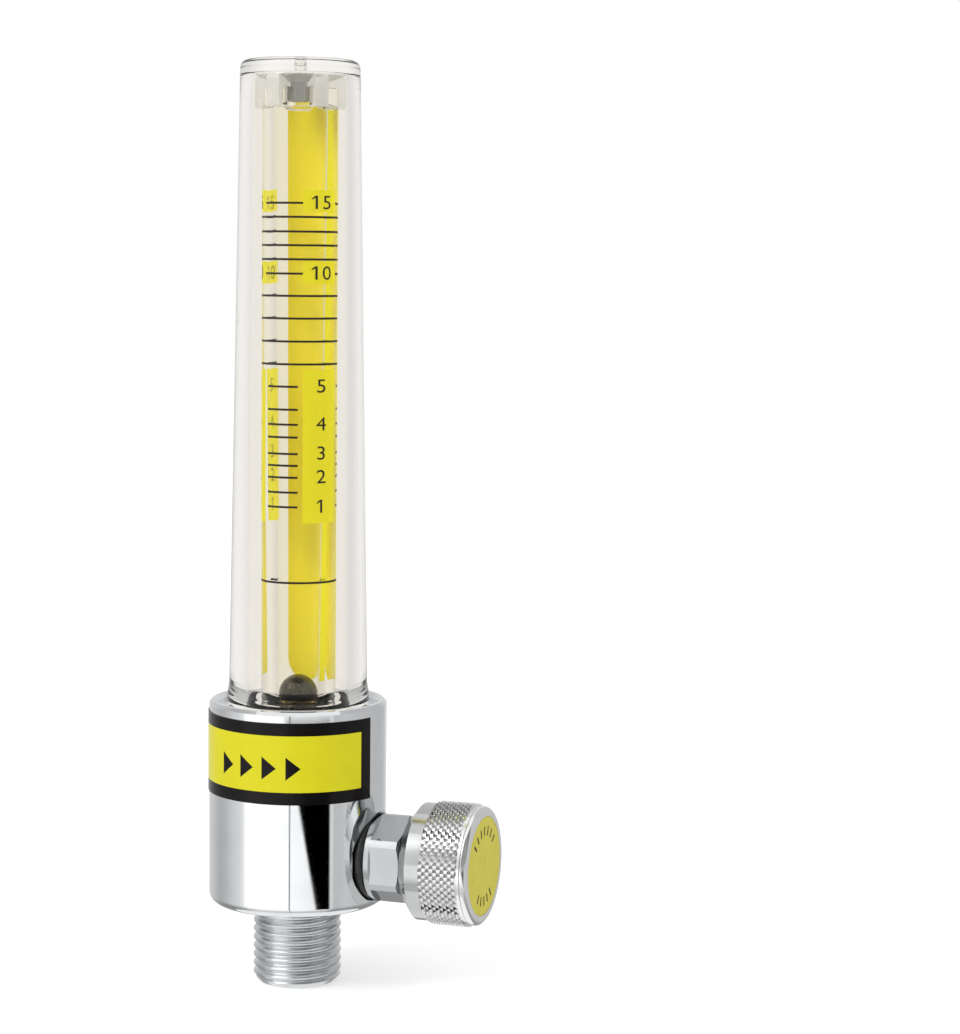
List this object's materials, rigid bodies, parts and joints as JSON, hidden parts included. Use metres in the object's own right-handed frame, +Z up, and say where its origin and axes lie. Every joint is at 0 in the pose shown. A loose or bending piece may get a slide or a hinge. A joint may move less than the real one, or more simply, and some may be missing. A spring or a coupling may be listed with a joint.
{
  "type": "medical air flowmeter",
  "caption": "Gas flowmeter: clear cover over a tapered flow tube with a ball float, on a round valve body with a knurled control knob at the side and a threaded outlet below.",
  "frame": {"origin": "centre of the outlet nipple's end face, on the axis of the tube", "axes": "+Z up the tube, -Y to the front with the scale, +X to the control knob, +Y to the inlet"},
  "size_m": [0.0465, 0.0314, 0.1485],
  "materials": {
    "plated_body": "bright plating on brass",
    "plated_bonnet": "bright plating on brass",
    "plated_knob": "bright plating on knurled brass",
    "stop_metal": "bright",
    "sintered_bronze": "porous, matt",
    "turned_brass": "turned",
    "ball_steel": "polished, dark",
    "screw_steel": "satin",
    "clear_cover": "clear moulded plastic",
    "clear_tube": "clear plastic, printed scale",
    "clear_cage": "clear moulded plastic",
    "black_rubber": "satin",
    "yellow_strip": "satin",
    "label_film": "yellow panel with a black border",
    "disc_plastic": "satin yellow"
  },
  "bodies": {
    "meter_body": {"valve_body": "plated_body", "inlet_filter": "sintered_bronze", "label_band": "label_film", "cover_tube": "clear_cover", "cover_o_ring": "black_rubber", "flow_tube": "clear_tube", "tube_gasket": "black_rubber", "ball_seat": "turned_brass", "scale_strip": "yellow_strip", "stop_cage": "clear_cage", "float_stop": "stop_metal", "bonnet": "plated_bonnet", "bonnet_o_ring": "black_rubber", "stem_o_ring": "black_rubber"},
    "float": {"float_ball": "ball_steel"},
    "needle_carrier": {"needle": "turned_brass"},
    "knob_assembly": {"valve_stem": "turned_brass", "knob": "plated_knob", "knob_screw": "screw_steel", "knob_disc": "disc_plastic"}
  },
  "joints": [
    {"name": "float_rise", "type": "slide", "parent": "meter_body", "child": "float", "axis": [0, 0, 1], "range_m": [0, 0.0908]},
    {"name": "valve_travel", "type": "slide", "parent": "meter_body", "child": "needle_carrier", "axis": [1, 0, 0], "range_m": [0, 0.0015]},
    {"name": "knob_turn", "type": "hinge", "parent": "needle_carrier", "child": "knob_assembly", "pos_m": [0.026, 0, 0.0214], "axis": [1, 0, 0], "range_deg": [0, 720]}
  ],
  "couplings": [
    {"joint": "knob_turn", "follows": "valve_travel", "rad_per_m": 8377.6}
  ]
}
